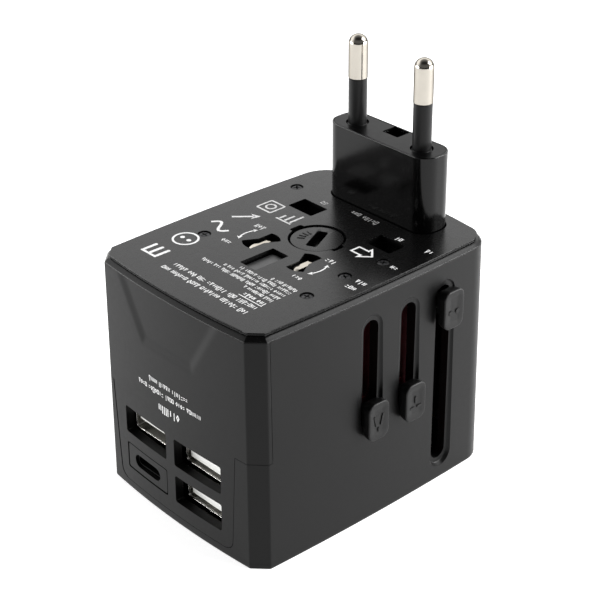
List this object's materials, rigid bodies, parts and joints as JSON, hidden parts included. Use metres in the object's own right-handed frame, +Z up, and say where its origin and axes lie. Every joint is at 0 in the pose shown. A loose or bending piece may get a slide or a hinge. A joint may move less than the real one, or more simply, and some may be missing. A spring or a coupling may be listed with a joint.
{
  "type": "universal travel adapter",
  "caption": "Block-shaped travel power adapter with retractable plug pins on side sliders, swivelling flat blades, a fused universal socket underneath and USB charging ports.",
  "frame": {"origin": "on the surface the adapter stands on, under the middle of the whole object's box, slider knobs included", "axes": "+Z up through the plug pins, away from the universal socket underneath; -Y towards the face with the USB ports; +X towards the side with the slider knobs"},
  "size_m": [0.0528, 0.0668, 0.0883],
  "materials": {
    "housing": "satin fine-textured charcoal moulding",
    "front_panel": "satin fine-textured charcoal moulding",
    "top_panel": "satin fine-textured charcoal moulding",
    "plug_block": "semi-gloss black moulding",
    "inner_plastic": "plain black inner moulding",
    "carriage": "dark red inner moulding",
    "knob": "fine-grained charcoal moulding",
    "grey_plastic": "mid grey moulding",
    "white_plastic": "off-white moulding",
    "pin_sleeve": "dark grey insulating sleeve",
    "nickel": "bright nickel plate",
    "brass": "pressed brass strip",
    "steel": "bright pressed steel",
    "circuit_board": "green solder mask",
    "ferrite": "dark grey ferrite",
    "winding_tape": "yellow polyester tape",
    "capacitor_sleeve": "dark blue shrink sleeve"
  },
  "bodies": {
    "housing": {"main_shell": "housing", "front_cover": "front_panel", "pin_plate": "top_panel", "pin_guide": "inner_plastic", "slide_guide": "carriage", "plate_screw_1": "steel", "plate_screw_2": "steel", "plate_screw_3": "steel", "plate_screw_4": "steel", "plate_screw_5": "steel", "socket_plate": "top_panel", "contact_housing": "white_plastic", "live_contact": "brass", "neutral_contact": "brass", "live_bus_bar": "brass", "neutral_bus_bar": "brass", "fuse_holder": "inner_plastic", "fuse_contact": "brass", "fuse_tube": "white_plastic", "fuse_ferrule_lower": "nickel", "fuse_ferrule_upper": "nickel", "usb_board": "circuit_board", "usb_a_shell_1": "steel", "usb_a_shell_2": "steel", "usb_a_shell_3": "steel", "usb_a_tongue_1": "white_plastic", "usb_a_tongue_2": "white_plastic", "usb_a_tongue_3": "white_plastic", "usb_c_bezel": "front_panel", "usb_c_shell": "steel", "usb_c_tongue": "inner_plastic", "transformer_core": "ferrite", "transformer_winding": "winding_tape", "input_capacitor": "capacitor_sleeve", "output_capacitor": "capacitor_sleeve"},
    "fuse_cap": {"fuse_cap": "top_panel"},
    "eu_plug": {"eu_block": "plug_block", "eu_pin_left": "nickel", "eu_pin_right": "nickel", "eu_sleeve_left": "pin_sleeve", "eu_sleeve_right": "pin_sleeve", "eu_knob": "knob"},
    "uk_plug": {"uk_carriage": "carriage", "uk_line_pin_left": "brass", "uk_line_pin_right": "brass", "uk_earth_pin": "grey_plastic", "uk_knob": "knob"},
    "us_plug": {"us_carriage": "carriage", "us_knob": "knob"},
    "us_blade_left": {"us_blade_left": "nickel"},
    "us_blade_right": {"us_blade_right": "nickel"}
  },
  "joints": [
    {"name": "eu_slide", "type": "slide", "parent": "housing", "child": "eu_plug", "axis": [0, 0, 1], "range_m": [-0.0358, 0]},
    {"name": "uk_slide", "type": "slide", "parent": "housing", "child": "uk_plug", "axis": [0, 0, 1], "range_m": [0, 0.0195]},
    {"name": "us_slide", "type": "slide", "parent": "housing", "child": "us_plug", "axis": [0, 0, 1], "range_m": [0, 0.0195]},
    {"name": "us_left_turn", "type": "hinge", "parent": "us_plug", "child": "us_blade_left", "pos_m": [-0.00614, -0.0047, 0.0272], "axis": [0, 0, 1], "range_deg": [-30, 0]},
    {"name": "us_right_turn", "type": "hinge", "parent": "us_plug", "child": "us_blade_right", "pos_m": [0.00666, -0.0047, 0.0272], "axis": [0, 0, 1], "range_deg": [0, 30]},
    {"name": "fuse_cap_turn", "type": "hinge", "parent": "housing", "child": "fuse_cap", "pos_m": [0.00051, 0.0044, 0.051], "axis": [0, 0, 1], "range_deg": [0, 60]}
  ]
}
